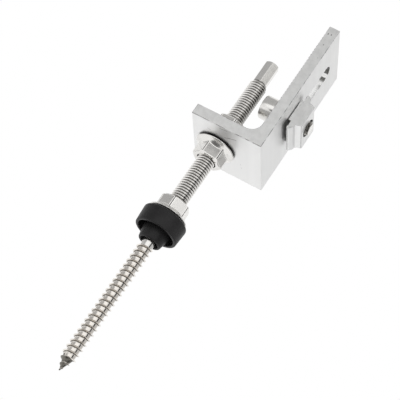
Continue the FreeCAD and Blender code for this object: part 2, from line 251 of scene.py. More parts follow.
# %% [markdown]
# What wasn't white in the tent gives the metal its greys and dark lines, and nine oval cards stand for that.
# The room above on the left was grey, and the nuts' near sides mirror it. A bright sheet hung in front,
# above a dark patch where the camera stood. To the right a tall gap in the cloth was nearly black and runs
# down all threads as one dark streak, and a wide gap at its foot was dark too. Beside it the cloth was
# pale grey, and greyer in its low corner. A slit behind was dark, and so was the space underneath.
# The cards are left out of the camera's view and cast no shadow, so they only show in the metal.

# %% Cards around the part
PART_MIDDLE = Vector((0.010, 0.0, 0.027))


def clear_selection():
    """Select nothing, because an operator acts on all that is selected."""
    bpy.ops.object.select_all(action="DESELECT")


def direction_to(azimuth, elevation):
    """The unit vector for two angles in degrees, azimuth from +X towards +Y."""
    flat = math.cos(math.radians(elevation))
    east = flat * math.cos(math.radians(azimuth))
    north = flat * math.sin(math.radians(azimuth))
    return Vector((east, north, math.sin(math.radians(elevation))))


def card(name, azimuth, elevation, distance, wide, high, middle_level, rim_level, plateau):
    """An oval card that faces the part from a distance in metres and only shows in mirrored rays.

    Its direction, its reach to each side and its reach up and down are in degrees, as seen from the part.
    Its grey is even out to the plateau, a share of its radius, and changes softly from there to the rim.
    """
    material = bpy.data.materials.new(name)
    glow = Web(material)
    glow.nodes.clear()
    radius = glow.node("ShaderNodeVectorMath", {"operation": "LENGTH"}, {0: glow.place()}, "Value")
    level = middle_level + (rim_level - middle_level) * radius.limited(plateau, 1.0)
    light = glow.node("ShaderNodeEmission", inputs={"Strength": level})
    glow.node("ShaderNodeOutputMaterial", inputs={"Surface": light})
    towards = direction_to(azimuth, elevation)
    turn = towards.to_track_quat("Z", "Y").to_euler()
    middle = towards * distance + PART_MIDDLE
    clear_selection()
    bpy.ops.mesh.primitive_circle_add(
        vertices=64, radius=1.0, fill_type="NGON", location=middle, rotation=turn)
    piece = bpy.context.object
    piece.name = name
    piece.scale = (distance * math.tan(math.radians(wide)), distance * math.tan(math.radians(high)), 1.0)
    piece.data.materials.append(material)
    piece.visible_camera = False
    piece.visible_diffuse = False
    piece.visible_shadow = False
    piece.visible_transmission = False
    piece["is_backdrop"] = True


card("room_card", -128.0, 42.0, 0.90, 52.0, 52.0, 0.48, 1.0, 0.66)
card("front_card", -83.0, 3.0, 0.50, 34.0, 16.0, 1.15, 0.9, 0.8)
card("dark_card", -79.0, -25.0, 0.44, 18.0, 12.0, 0.10, 1.0, 0.7)
card("gap_card", -19.5, 10.0, 0.80, 15.5, 64.0, 0.03, 0.9, 0.70)
card("back_card", 176.0, 26.0, 0.90, 9.0, 42.0, 0.10, 0.9, 0.6)
card("side_card", 22.0, 15.0, 0.95, 46.0, 46.0, 0.60, 1.0, 0.4)
card("under_card", -98.0, -68.0, 0.45, 30.0, 28.0, 0.12, 1.0, 0.65)
card("low_gap_card", -13.0, -25.0, 0.80, 42.0, 18.0, 0.10, 1.0, 0.6)
card("low_card", 41.0, -23.0, 0.80, 18.0, 18.0, 0.35, 1.0, 0.6)

# %% [markdown]
# The floor lies well below the bolt, because the camera looks up from under the roof. Two large soft lamps
# add a little direction to the light.

# %% Floor and lamps
FLOOR_LEVEL = -0.50
FLOOR_RADIUS = 4.0
clear_selection()
bpy.ops.mesh.primitive_circle_add(
    vertices=96, radius=FLOOR_RADIUS, fill_type="NGON", location=(0.0, 0.0, FLOOR_LEVEL))
floor = bpy.context.object
floor.name = "floor"
floor.data.materials.append(Finish("pale_floor", Base_Color=(0.94, 0.94, 0.94), Roughness=0.9).material)
floor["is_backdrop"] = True


def soft_lamp(name, azimuth, elevation, distance, size, watts):
    """A large square lamp that faces the part and isn't mirrored as a bright patch."""
    lamp_data = bpy.data.lights.new(name, "AREA")
    lamp_data.size = size
    lamp_data.energy = watts
    lamp = bpy.data.objects.new(name, lamp_data)
    towards = direction_to(azimuth, elevation)
    turn = towards.to_track_quat("Z", "Y").to_matrix().to_4x4()
    lamp.matrix_world = Matrix.Translation(towards * distance + PART_MIDDLE) @ turn
    lamp.visible_glossy = False
    scene.collection.objects.link(lamp)


soft_lamp("key_lamp", -35.0, 55.0, 1.3, 0.9, 5.0)
soft_lamp("fill_lamp", 150.0, 35.0, 1.5, 1.2, 2.5)
print("floor at", FLOOR_LEVEL, "m")

# %% [markdown]
# ## Stainless steel
# The bolt, the nuts and the cap screw are all stainless steel, and they differ in how they were made.
# A rolled thread is smooth on its crests, and its roots are painted darker, as painted shade, so its colour
# follows the distance from the axis. The machine thread's crests are polished bright, and above the foot its
# side next to the leg is painted darker, as painted shade. The wood thread is warmer in tone, and
# the cap screw's is painted dark, as painted shade.
# Nuts and heads are cold forged and tumbled, which leaves a satin face with faint clouds. Steel mirrors
# its surroundings, so both are fully metallic, and only the roughness, a weak cloudiness and very
# small bumps change over the surface. Narrow faces get even finishes: the wood thread's ridges and
# the corners under them, painted dark as painted shade; a nut's corners and the slope under its flange
# rim, painted dark as painted reflection and painted shade; and the rubbed edges of its sides, painted
# bright as a painted highlight.

# %% Steel finishes
STEEL = (0.80, 0.787, 0.762)
WARM_STEEL = (0.80, 0.762, 0.712)
# Painted shade: the cap screw's thread is painted this dark.
SHADED_SCREW_STEEL = (0.32, 0.31, 0.29)
# Painted shade: every thread's root is painted this dark, for the shade in its valleys.
SHADED_ROOT_STEEL = (0.22, 0.212, 0.198)
POLISHED = (0.97, 0.955, 0.93)
# Near black, painted as shade in crevices, bores and valleys, and as the dark reflection on a nut's corners.
PAINTED_SHADE = (0.035, 0.033, 0.030)


def distance_from_axis(finish, first, second):
    """How far the point is from the axis across the two coordinates."""
    return (finish.along(first) ** 2 + finish.along(second) ** 2) ** 0.5


def thread_steel(name, across, root, crest, steel=STEEL, polished_from=None):
    """Rolled steel, painted darker from crest to root as painted shade, for a thread across two coordinates.

    The machine thread is also polished from a radius outwards, and painted darker on the side by the leg, as
    painted shade.
    """
    finish = Finish(name, Metallic=1.0)
    height = distance_from_axis(finish, *across).limited(root, crest)
    clouds = finish.noise(finish.place(), 300.0)
    # The colour runs from the painted shade at the root to the bare steel at the crest.
    colour = finish.mixed(height, SHADED_ROOT_STEEL, steel)
    if polished_from:
        polish = distance_from_axis(finish, *across).limited(polished_from, polished_from + 0.00010)
        colour = finish.mixed(polish, colour, POLISHED)
        # Painted shade: above the foot, the side of the machine thread next to the leg is painted half way
        # to near black.
        shade_beside_the_leg = (0.95 * finish.along("X") + 0.32 * finish.along("Y")).limited(0.0004, 0.0036)
        shade_above_the_foot = finish.along("Z").limited(0.060, 0.070)
        colour = finish.mixed(0.50 * shade_beside_the_leg * shade_above_the_foot, colour, PAINTED_SHADE)
    finish.coloured(colour)
    finish.roughened(0.26 - 0.08 * height + 0.08 * (clouds - 0.5))
    return finish.material


machine_steel = thread_steel("rolled_machine_thread", "XY", 0.00408, 0.00466, polished_from=0.00474)
timber_steel = thread_steel("rolled_wood_thread", "XY", 0.00010, 0.00060, steel=WARM_STEEL)
screw_steel = thread_steel("rolled_screw_thread", "YZ", 0.00385, 0.00410, steel=SHADED_SCREW_STEEL)


def even(name, colour, roughness, metallic=1.0):
    """A finish with one colour and one roughness all over."""
    return Finish(name, Metallic=metallic, Base_Color=colour, Roughness=roughness).material


ridge_steel = even("rolled_ridge", (0.84, 0.80, 0.75), 0.24)
# Painted highlight: near white and half metallic, for the bright lines round a nut's flats, on rubbed edges.
rubbed_highlight_steel = even("rubbed_edge_painted_highlight", (0.99, 0.975, 0.95), 0.6, 0.55)
# Painted shade under the flange's rim, and painted dark reflection down a nut's rounded corners.
painted_dark_steel = even("painted_shade_under_the_flange_and_corners", PAINTED_SHADE, 0.4)
# Painted shade for the corner under each ridge of the wood thread.
shaded_corner_steel = even("painted_shade_under_the_ridge", (0.20, 0.19, 0.17), 0.35)


def tumbled(name, painted_dark=False):
    """Forged and tumbled steel. On request, the bore of a nut and the mouth round it are painted dark round
    the Z axis, as painted shade.
    """
    finish = Finish(name, Metallic=1.0)
    clouds = finish.noise(finish.place(), 260.0, 4.0)
    colour = finish.mixed(clouds.limited(0.3, 0.7), (0.78, 0.767, 0.742), (0.82, 0.807, 0.782))
    if painted_dark:
        # Painted shade in the bore and its mouth.
        bore = distance_from_axis(finish, "X", "Y").limited(0.00530, 0.00556)
        colour = finish.mixed(bore, PAINTED_SHADE, colour)
    finish.coloured(colour)
    finish.roughened(0.20 + 0.08 * (clouds - 0.5))
    finish.bumped(finish.noise(finish.place(), 350.0, 2.0), 0.00001, 0.12)
    return finish.material


tumbled_steel = tumbled("tumbled_steel")
nut_steel = tumbled("tumbled_nut_steel", painted_dark=True)
print("steel finishes:", machine_steel.name, timber_steel.name, tumbled_steel.name, nut_steel.name)

# %% [markdown]
# ## Aluminium
# The angle and the rail nut are lengths sawn off an extruded bar. The die leaves long faint lines on the
# outside, all along the bar, and the saw leaves a duller face with short marks and small pits. One material
# for the drawn faces and one for the sawn ends tell the two apart, and both use noise that is stretched
# hard along one axis: the bar's length for the die lines, and the saw's travel for the marks. The slot is
# milled and shines more, and its upper end is painted dark, as painted shade. The grooved inside of the
# leg is duller, and the rail nut's hole is painted dark, as painted shade. Where the saw broke through,
# it left a dark burr.
# The angle has been handled, and the photograph shows where. Each scratch and each pit is the distance to a
# short line drawn on one face, so they stay put and can be moved one by one.

# %% Aluminium finishes

def stroke(finish, axes, start, stop, width):
    """1 on a line between two points, in millimetres, in the plane of two axes, and 0 away from it."""
    run = [end - begin for begin, end in zip(start, stop)]
    length_squared = max(run[0] ** 2 + run[1] ** 2, 1e-6)
    offsets = [1000.0 * finish.along(axis) - begin for axis, begin in zip(axes, start)]
    share = offsets[0] * (run[0] / length_squared) + offsets[1] * (run[1] / length_squared)
    share = share.larger(0.0).smaller(1.0)
    across = [offset - share * step for offset, step in zip(offsets, run)]
    distance = (across[0] * across[0] + across[1] * across[1]) ** 0.5
    return 1.0 - distance.limited(0.5 * width, width)


def marked(finish, axes, marks):
    """All strokes of one face together, each given as start, stop, width and depth of colour."""
    together = 0.0
    for start, stop, width, depth in marks:
        mark = stroke(finish, axes, start, stop, width) * depth
        together = mark.larger(together)
    return together


SCRATCHES = [
    ((5.4, -13.2), (7.6, -14.3), 0.22, 0.45),
    ((7.2, -14.2), (12.1, -16.1), 0.34, 0.60),
    ((-4.6, -14.3), (-3.0, -14.1), 0.30, 0.45),
    ((2.6, -19.9), (7.0, -20.6), 0.26, 0.60),
    ((-8.8, -20.6), (-1.7, -21.3), 0.18, 0.22),
    ((14.3, 5.7), (14.5, 6.3), 0.25, 0.35),
    ((14.7, 8.6), (14.9, 9.3), 0.25, 0.35),
]
PITS = [
    ((22.0, 133.7), (22.1, 133.2), 0.40, 0.75),
    ((23.7, 133.9), (23.8, 133.4), 0.36, 0.70),
    ((23.2, 126.5), (23.3, 126.2), 0.40, 0.50),
    ((24.6, 118.0), (24.7, 117.8), 0.30, 0.30),
]

drawn = Finish("extruded_aluminium_face", Metallic=1.0)
die_lines = drawn.noise(drawn.stretched((1.0, 0.02, 1.0)), 900.0, 4.0, 0.6)
broad_lines = drawn.noise(drawn.stretched((1.0, 0.01, 1.0)), 130.0, 2.0)
underneath = 1.0 - drawn.along("Z").limited(0.0582, 0.0584)
scratched = underneath * marked(drawn, "XY", SCRATCHES)
clean = drawn.mixed(broad_lines.limited(0.25, 0.75), (0.82, 0.82, 0.815), (0.865, 0.865, 0.86))
drawn.coloured(drawn.mixed(scratched, clean, (0.16, 0.155, 0.15)))
drawn.roughened(0.40 + 0.12 * (die_lines - 0.5) + 0.10 * (drawn.noise(drawn.place(), 90.0) - 0.5))
drawn.bumped(die_lines, 0.00003, 0.3)
drawn_aluminium = drawn.material

sawn = Finish("sawn_aluminium_face", Metallic=1.0)
saw_marks = sawn.noise(sawn.stretched((1.0, 1.0, 0.12)), 1500.0, 4.0, 0.65)
saw_clouds = sawn.noise(sawn.place(), 230.0, 4.0, 0.6)
bare = sawn.mixed(saw_clouds.limited(0.3, 0.7), (0.86, 0.86, 0.85), (0.96, 0.96, 0.95))
sawn.coloured(sawn.mixed(marked(sawn, "XZ", PITS), bare, (0.18, 0.18, 0.17)))
sawn.roughened(0.50 + 0.16 * (saw_marks - 0.5))
sawn.bumped(saw_marks, 0.00004, 0.4)
sawn_aluminium = sawn.material

burr = Finish("burr_of_the_saw", Metallic=1.0, Roughness=0.5)
burr_dirt = burr.noise(burr.place(), 260.0, 3.0, 0.6).limited(0.42, 0.62)
burr.coloured(burr.mixed(burr_dirt, (0.76, 0.76, 0.75), (0.34, 0.34, 0.33)))
burr_aluminium = burr.material

milled_aluminium = even("milled_slot", (0.93, 0.93, 0.925), 0.16)
grooved_aluminium = even("grooved_inside", (0.84, 0.84, 0.83), 0.5, 0.55)
# Painted shade: the top of the slot is painted dark.
shaded_slot_end_aluminium = even("end_of_the_slot", (0.27, 0.27, 0.26), 0.4)
# Painted shade: the rail nut's hole is painted near black.
shaded_hole_aluminium = even("painted_shade_in_the_hole", (0.07, 0.07, 0.065), 0.4)
print("aluminium finishes:", drawn_aluminium.name, sawn_aluminium.name, milled_aluminium.name)

# %% [markdown]
# ## Rubber
# The seal is moulded rubber. It is nearly black, with a soft sheen where the mould was polished, and a
# fine grain breaks that sheen up. Rubber isn't a metal, so the little that it mirrors is weak and wide.

# %% Rubber finish
BLACK = (0.0085, 0.0080, 0.0085)
BLOOM = (0.0145, 0.0138, 0.0145)
moulded = Finish("moulded_rubber", Specular_IOR_Level=0.30)
bloom = moulded.noise(moulded.place(), 150.0)
moulded.coloured(moulded.mixed(bloom.limited(0.35, 0.75), BLACK, BLOOM))
moulded.roughened(0.46 + 0.16 * (bloom - 0.5))
moulded.bumped(moulded.noise(moulded.place(), 1800.0, 4.0), 0.00004, 0.35)
black_rubber = moulded.material
print("rubber finish:", black_rubber.name)

# %% [markdown]
# ## Drawing, turning and winding
# Most of these pieces start on a machine as a bar, so they are made here in the same ways. A line is drawn
# point by point by extruding one vertex. Spinning that line about an axis turns a round piece, as on
# a lathe, and winding it with a Screw modifier makes a thread. A closed line that is filled and
# extruded is a sawn length of bar. The helpers draw in millimetres, as on a workshop drawing.

# %% Drawing helpers

def pick(piece):
    """Make one piece the only selected and the active one."""
    clear_selection()
    piece.select_set(True)
    bpy.context.view_layer.objects.active = piece


def edit(piece):
    pick(piece)
    bpy.ops.object.mode_set(mode="EDIT")


def edit_all(piece):
    """Open a piece's mesh with all of it selected."""
    edit(piece)
    bpy.ops.mesh.select_all(action="SELECT")


def leave_edit():
    bpy.ops.object.mode_set(mode="OBJECT")


def modified(piece, kind, **settings):
    """Add a modifier to a piece, set it and apply it."""
    pick(piece)
    bpy.ops.object.modifier_add(type=kind)
    modifier = piece.modifiers[-1]
    for name, value in settings.items():
        setattr(modifier, name, value)
    bpy.ops.object.modifier_apply(modifier=modifier.name)


def apply_transforms():
    """Write the active object's place, turn and size into its mesh."""
    bpy.ops.object.transform_apply(location=True, rotation=True, scale=True)


def drawn_line(name, points, closed=False):
    """A line through points, drawn one after another."""
    clear_selection()
    bpy.ops.mesh.primitive_plane_add(size=1.0, location=points[0])
    piece = bpy.context.object
    piece.name = name
    apply_transforms()
    edit(piece)
    bpy.ops.mesh.select_mode(type="VERT")
    bpy.ops.mesh.select_all(action="SELECT")
    bpy.ops.mesh.merge(type="CENTER")
    route = [*points, points[0]] if closed else points
    for start, stop in zip(route, route[1:]):
        step = Vector(stop) - Vector(start)
        bpy.ops.mesh.extrude_region_move(TRANSFORM_OT_translate={"value": step})
    if closed:
        bpy.ops.mesh.select_all(action="SELECT")
        bpy.ops.mesh.remove_doubles(threshold=0.001)
    leave_edit()
    return piece


def tidy_faces(piece):
    """Merge doubles and point every face outwards."""
    edit_all(piece)
    bpy.ops.mesh.remove_doubles(threshold=0.0005)
    bpy.ops.mesh.normals_make_consistent(inside=False)
    leave_edit()


def turned(name, corners, steps=96, closed=False):
    """A round piece turned about the Z axis from pairs of radius and level."""
    piece = drawn_line(name, [(radius, 0.0, level) for radius, level in corners], closed)
    edit_all(piece)
    bpy.ops.mesh.spin(steps=steps, angle=2 * math.pi, center=(0, 0, 0), axis=(0, 0, 1))
    leave_edit()
    tidy_faces(piece)
    return piece

# %% [markdown]
# ## Threads
# A thread is one small outline wound up a cylinder. The outline covers exactly one pitch, from root to
# root, so each turn joins the next without a seam. The Screw modifier winds a little more than is needed,
# two cuts with Bisect trim it level and close its ends, and a last step pulls in what stands outside
# a given radius, which makes the chamfer where a real thread starts.

# %% Winding a thread

def wound(name, outline, pitch, low, high, steps=48):
    """A thread about the Z axis between two levels, closed at both ends."""
    turns = math.ceil((high - low) / pitch) + 3
    start = low - 1.5 * pitch
    piece = drawn_line(name, [(radius, 0.0, start + level) for radius, level in outline])
    modified(
        piece, "SCREW", axis="Z", angle=2 * math.pi, screw_offset=pitch, iterations=turns,
        steps=steps, render_steps=steps, use_merge_vertices=True, merge_threshold=0.0005)
    tidy_faces(piece)
    for level, up in ((high, 1), (low, -1)):
        edit_all(piece)
        bpy.ops.mesh.bisect(plane_co=(0, 0, level), plane_no=(0, 0, up), use_fill=True, clear_outer=True)
        leave_edit()
    tidy_faces(piece)
    return piece


def radius_changed(piece, rule):
    """Move each vertex in or out from the Z axis to the radius that the rule gives."""
    for vertex in piece.data.vertices:
        radius = math.hypot(vertex.co.x, vertex.co.y)
        if radius > 1e-6:
            share = rule(radius, vertex.co.z) / radius
            vertex.co.x *= share
            vertex.co.y *= share


def between(value, low, high):
    """How far a value has come from low to high, from 0 to 1."""
    return min(1.0, max(0.0, (value - low) / (high - low)))

# %% [markdown]
# ## The wood thread
# A wood thread has thin ridges far apart on a slim core, so that it cuts its own way into the rafter.
# Towards the point the core and the ridge shrink together, and near the top the ridge runs out into
# the bare neck. Winding it at full size and then drawing it in over the last stretch keeps the pitch
# even right up to the tip, which a separate cone with a spiral on it would not.

# %% Wood thread
TIMBER_LOW, TIMBER_HIGH = -85.0, -8.0
TIMBER_CORE = 3.1
TIMBER_RIDGE = 1.15
TIMBER_PITCH = 3.1
TIP_RADIUS = 0.12
POINT_LENGTH = 8.0
RUN_OUT = 1.2
timber_outline = [
    (TIMBER_CORE, 0.0),
    (TIMBER_CORE, 0.95),
    (TIMBER_CORE + 0.08, 1.13),
    (TIMBER_CORE + 0.50, 1.28),
    (TIMBER_CORE + TIMBER_RIDGE - 0.03, 1.50),
    (TIMBER_CORE + TIMBER_RIDGE, 1.53),
    (TIMBER_CORE + TIMBER_RIDGE, 1.57),
    (TIMBER_CORE + TIMBER_RIDGE - 0.03, 1.60),
    (TIMBER_CORE + 0.10, 1.96),
    (TIMBER_CORE, 2.12),
    (TIMBER_CORE, TIMBER_PITCH),
]
wood_thread = wound("wood_thread", timber_outline, TIMBER_PITCH, TIMBER_LOW, TIMBER_HIGH)


def timber_radius(radius, level):
    """The core and the ridge, both drawn in at the point, and the ridge run out at the top."""
    grown = between(level, TIMBER_LOW, TIMBER_LOW + POINT_LENGTH)
    below_the_end = between(-level, -TIMBER_HIGH, -TIMBER_HIGH + RUN_OUT)
    ridge_share = (0.25 + 0.75 * grown) * (0.15 + 0.85 * below_the_end)
    core = TIP_RADIUS + (TIMBER_CORE - TIP_RADIUS) * grown
    return core + max(0.0, radius - TIMBER_CORE) * ridge_share


radius_changed(wood_thread, timber_radius)
print("wood thread:", len(wood_thread.data.polygons), "faces")

# %% [markdown]
# ## Bars and cuts
# Nuts and the spanner end start as plain six-sided bars. A boolean cuts one piece with another or joins the
# two, and a bevel rounds the sharp edges a little, because a real edge always catches some light.

# %% Bars, cuts and rounded edges

def round_bar(name, radius, length, middle, turn=(0, 0, 0), sides=96):
    """A plain round or many-sided bar, used to cut or to build on."""
    clear_selection()
    bpy.ops.mesh.primitive_cylinder_add(
        vertices=sides, radius=radius, depth=length, location=middle, rotation=turn)
    piece = bpy.context.object
    piece.name = name
    apply_transforms()
    return piece


def hexagon_bar(name, across_flats, length, middle):
    """A six-sided bar along Z with one of its corners towards +X."""
    corner = across_flats / math.sqrt(3)
    return round_bar(name, corner, length, middle, (0, 0, math.radians(30)), 6)


def combined(piece, tool, how):
    """Cut, keep or join with a tool, which is then thrown away."""
    modified(piece, "BOOLEAN", operation=how, object=tool, solver="EXACT")
    bpy.data.objects.remove(tool, do_unlink=True)


def edges_rounded(piece, width, segments, over):
    """A small round on every edge that is sharper than an angle in degrees."""
    modified(
        piece, "BEVEL", width=width, segments=segments, limit_method="ANGLE",
        angle_limit=math.radians(over), miter_outer="MITER_ARC")

# %% [markdown]
# ## The machine thread
# Above the wood thread come a short bare neck and an ordinary metric thread with a pitch of 1.5 mm. Its
# flanks stand nearly 60 degrees apart, the root is narrow, and rolling has rounded the crest over. Almost
# seventy turns are wound from one outline. Both flanks are the same, so only its rising half is drawn: six
# points, and four of them lie on the crest, where the light catches. A hexagon for the spanner is milled
# on the top end, where the thread tapers away.

# %% Machine thread, neck and spanner end
MACHINE_LOW, MACHINE_HIGH = -1.5, 102.0
MACHINE_CREST = 4.925
MACHINE_ROOT = 4.06
MACHINE_PITCH = 1.5


def mirrored(half, total):
    """Half an outline and its mirror image: the same points in reverse, at a total less their height."""
    return half + [(across, total - up) for across, up in reversed(half)]


machine_outline = mirrored([
    (MACHINE_ROOT, 0.0),
    (MACHINE_ROOT + 0.06, 0.12),
    (MACHINE_CREST - 0.105, 0.50),
    (MACHINE_CREST - 0.05, 0.555),
    (MACHINE_CREST - 0.018, 0.63),
    (MACHINE_CREST, 0.72),
], MACHINE_PITCH)
machine_thread = wound("machine_thread", machine_outline, MACHINE_PITCH, MACHINE_LOW, MACHINE_HIGH)


def machine_radius(radius, level):
    """Nothing outside a chamfer at the low end and the slim taper at the high end."""
    low_limit = 3.45 + 0.5 * (level - MACHINE_LOW)
    high_limit = 3.50 + 0.57 * (MACHINE_HIGH - level)
    return min(radius, low_limit, high_limit)


radius_changed(machine_thread, machine_radius)

neck = turned("neck", [(0, -9.0), (3.1, -9.0), (3.3, -8.0), (3.3, -1.5), (3.5, -1.0), (3.5, 0.0), (0, 0.0)])
taper = turned("taper", [(0, 98.0), (3.4, 98.0), (3.4, 102.0), (3.2, 102.3), (0, 102.3)])

SPANNER_ACROSS = 7.0
SPANNER_LOW, SPANNER_HIGH = 98.0, 115.0
spanner_middle = (0, 0, (SPANNER_LOW + SPANNER_HIGH) / 2)
drive = hexagon_bar("spanner_end", SPANNER_ACROSS, SPANNER_HIGH - SPANNER_LOW, spanner_middle)
end_limit = turned("end_limit", [
    (0, 97.0),
    (6.0, 97.0),
    (6.0, 113.4),
    (3.3, SPANNER_HIGH),
    (0, SPANNER_HIGH),
])
combined(drive, end_limit, "INTERSECT")
print("spanner end:", SPANNER_ACROSS, "mm across its flats")

# %% [markdown]
# ## Shading and placing
# Smooth shading lets the light run round a bevel, but it would also bend the light on large flat faces. So
# the edges beside a large face are kept sharp, and weighted normals hold it flat. Then a piece gets its
# materials, is brought from millimetres to metres and takes the place of its node in the CAD frame.

# %% Shading, materials and place

def faces_beside_edges(piece):
    """The faces on each edge of a piece."""
    beside = {}
    for face in piece.data.polygons:
        for key in face.edge_keys:
            beside.setdefault(key, []).append(face)
    return beside


def flats_kept_apart(piece, area=12.0, over=10.0):
    """Mark the edges where a large face, in square millimetres, meets a face at an angle, in degrees."""
    beside = faces_beside_edges(piece)
    for edge in piece.data.edges:
        faces = beside.get(edge.key, [])
        if len(faces) == 2 and max(face.area for face in faces) > area:
            if faces[0].normal.angle(faces[1].normal) > math.radians(over):
                edge.use_edge_sharp = True
    sharp = {edge.key for edge in piece.data.edges if edge.use_edge_sharp}
    for face in piece.data.polygons:
        if face.area > area and all(key in sharp for key in face.edge_keys):
            face.use_smooth = False


def smoothed(piece, over):
    """Smooth shading, except at edges that are sharper than an angle in degrees."""
    pick(piece)
    bpy.ops.object.shade_smooth_by_angle(angle=math.radians(over))


def smooth_with_flat_faces(piece, over):
    """Smooth shading that keeps the large faces flat and the rounds between them round."""
    smoothed(piece, over)
    flats_kept_apart(piece)
    modified(piece, "WEIGHTED_NORMAL", keep_sharp=True, weight=80)


def faces_of(piece, *materials):
    """Give a piece its materials. Every face starts with the first one."""
    piece.data.materials.clear()
    for material in materials:
        piece.data.materials.append(material)


def join_onto(piece, *others):
    """Make one object of several."""
    pick(piece)
    for item in others:
        item.select_set(True)
    bpy.ops.object.join()


def on_the_part(piece, node):
    """Bring a finished piece to metres, put it in place of its CAD node, and say how large it is."""
    pick(piece)
    piece.scale = (0.001, 0.001, 0.001)
    apply_transforms()
    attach(piece, "root")
    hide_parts(node)
    piece.data.calc_loop_triangles()
    points = [vertex.co for vertex in piece.data.vertices]
    ends = [[end(point[axis] for point in points) for axis in range(3)] for end in (min, max)]
    low, high = in_millimetres(ends)
    print(piece.name, "from", low, "to", high, "mm,", len(piece.data.loop_triangles), "triangles")

# %% [markdown]
# ## The bolt in one piece
# The hexagon was made with a corner towards +X, and the wood thread is wound from +X. Each is turned about
# the bolt's axis to where the photograph shows its corners or its ridges. The slopes of those ridges get
# finishes of their own: bright, and painted dark as painted shade where the lower slope meets the core.
# The pieces are then joined into one object, because it is one bolt.

# %% The bolt in one piece
BOLT_TURN = 34.5
WOOD_TURN = -165.0
RIDGE, CORNER = 1, 2


def place_in_mesh(piece, matrix):
    """Move and turn a piece, and leave its object at the origin."""
    piece.matrix_world = matrix
    pick(piece)
    apply_transforms()


def from_the_axis(point):
    """How far a point is from the Z axis."""
    return math.hypot(point.x, point.y)


edges_rounded(drive, 0.12, 2, 20.0)
place_in_mesh(drive, about("Z", BOLT_TURN))
smooth_with_flat_faces(drive, 35.0)
place_in_mesh(wood_thread, about("Z", WOOD_TURN))
faces_of(wood_thread, timber_steel, ridge_steel, shaded_corner_steel)
# The lower slope's faces close to the core get the painted shade, and the other slopes get the ridge finish.
for face in wood_thread.data.polygons:
    if abs(face.normal.z) > 0.3 and len(face.vertices) == 4:
        in_the_corner = face.normal.z < 0 and from_the_axis(face.center) < TIMBER_CORE + 0.35
        face.material_index = CORNER if in_the_corner else RIDGE
faces_of(machine_thread, machine_steel)
for item in (neck, taper, drive):
    faces_of(item, tumbled_steel)
for item in (wood_thread, machine_thread, neck, taper):
    smoothed(item, 28.0)
join_onto(machine_thread, wood_thread, neck, taper, drive)
machine_thread.name = "threaded_bolt"
on_the_part(machine_thread, "hanger_bolt")

# %% [markdown]
# ## Flange nuts
# A flange nut is a hexagon with a washer forged onto it. The flange rises in a shallow cone into the flats,
# and a crown is turned on the far end, which cuts the six corners away in arcs. The nut is made in the same
# way: a six-sided bar with rounded corners, kept only inside a crowned blank, joined to a turned flange
# and then bored.

# %% One flange nut
NUT_ACROSS = 15.0
NUT_HEIGHT = 10.0
BORE = 4.975
BAR_LOW = 0.6
nut_middle = (0, 0, BAR_LOW + (NUT_HEIGHT - BAR_LOW) / 2)
flange_nut = hexagon_bar("flange_nut", NUT_ACROSS, NUT_HEIGHT - BAR_LOW, nut_middle)
edges_rounded(flange_nut, 0.60, 3, 40.0)
crown = turned("crown", [(0, 0.0), (11.5, 0.0), (11.5, 7.3), (7.05, NUT_HEIGHT), (0, NUT_HEIGHT)], 128)
combined(flange_nut, crown, "INTERSECT")
flange = turned("flange", [
    (0, 0.0),
    (8.7, 0.0),
    (10.25, 0.35),
    (10.62, 0.62),
    (10.86, 0.90),
    (10.9, 1.02),
    (10.9, 1.15),
    (10.83, 1.42),
    (10.62, 1.68),
    (10.25, 1.88),
    (9.7, 2.10),
    (8.95, 2.48),
    (7.0, 3.95),
    (0, 3.95),
], 128)
combined(flange_nut, flange, "UNION")
bore = turned("bore", [
    (0, -1.0),
    (BORE + 1.55, -1.0),
    (BORE, 0.55),
    (BORE, NUT_HEIGHT - 0.65),
    (BORE + 1.65, NUT_HEIGHT + 1.0),
    (0, NUT_HEIGHT + 1.0),
])
combined(flange_nut, bore, "DIFFERENCE")
print("flange nut:", NUT_ACROSS, "mm across its flats,", NUT_HEIGHT, "mm high")

# %% [markdown]
# The light on its edges draws a nut, so they get faces of their own. A small round fills the corner where
# the sides run into the flange. A narrow rim is inset round each flat, where handling has rubbed the steel
# dull, and it is painted bright as a painted highlight. The strip down the middle of each rounded corner is
# painted dark as a painted reflection, and the slope under the flange's rim is painted dark as painted
# shade.
# The faces are told apart by where they are and how they lean.

# %% The nut's edges and their finishes
FLAT_AREA = 12.0
CLEAN, PAINTED_DARK_FACE, HIGHLIGHTED_RIM = 0, 1, 2


def is_side_of_nut(face):
    """True for the six flats and their rounded corners, which stand upright well away from the bore."""
    upright = abs(face.normal.z) < 0.02
    return upright and from_the_axis(face.center) > 7.0 and face.center.z > 3.0


def unselected(piece, kind):
    """Clear the selection inside a piece, ready to pick single edges or faces."""
    edit(piece)
    bpy.ops.mesh.select_mode(type=kind)
    bpy.ops.mesh.select_all(action="DESELECT")
    leave_edit()


def round_the_foot(piece, width):
    """A small round in the corner where the sides run into the flange."""
    unselected(piece, "EDGE")
    beside = faces_beside_edges(piece)
    for edge in piece.data.edges:
        sides = sum(is_side_of_nut(face) for face in beside[edge.key])
        low = all(piece.data.vertices[number].co.z < 5.0 for number in edge.vertices)
        edge.select = sides == 1 and low
    edit(piece)
    bpy.ops.mesh.remove_doubles(threshold=0.09, use_unselected=False)
    bpy.ops.mesh.bevel(offset=width, segments=2, profile=0.5, affect="EDGES", clamp_overlap=False)
    leave_edit()
    tidy_faces(piece)


def rim_the_sides(piece, width):
    """A narrow rim round each of the six flats."""
    unselected(piece, "FACE")
    for face in piece.data.polygons:
        face.select = is_side_of_nut(face) and face.area > FLAT_AREA
    edit(piece)
    bpy.ops.mesh.inset(thickness=width, depth=0.0, use_individual=True, use_even_offset=True)
    leave_edit()


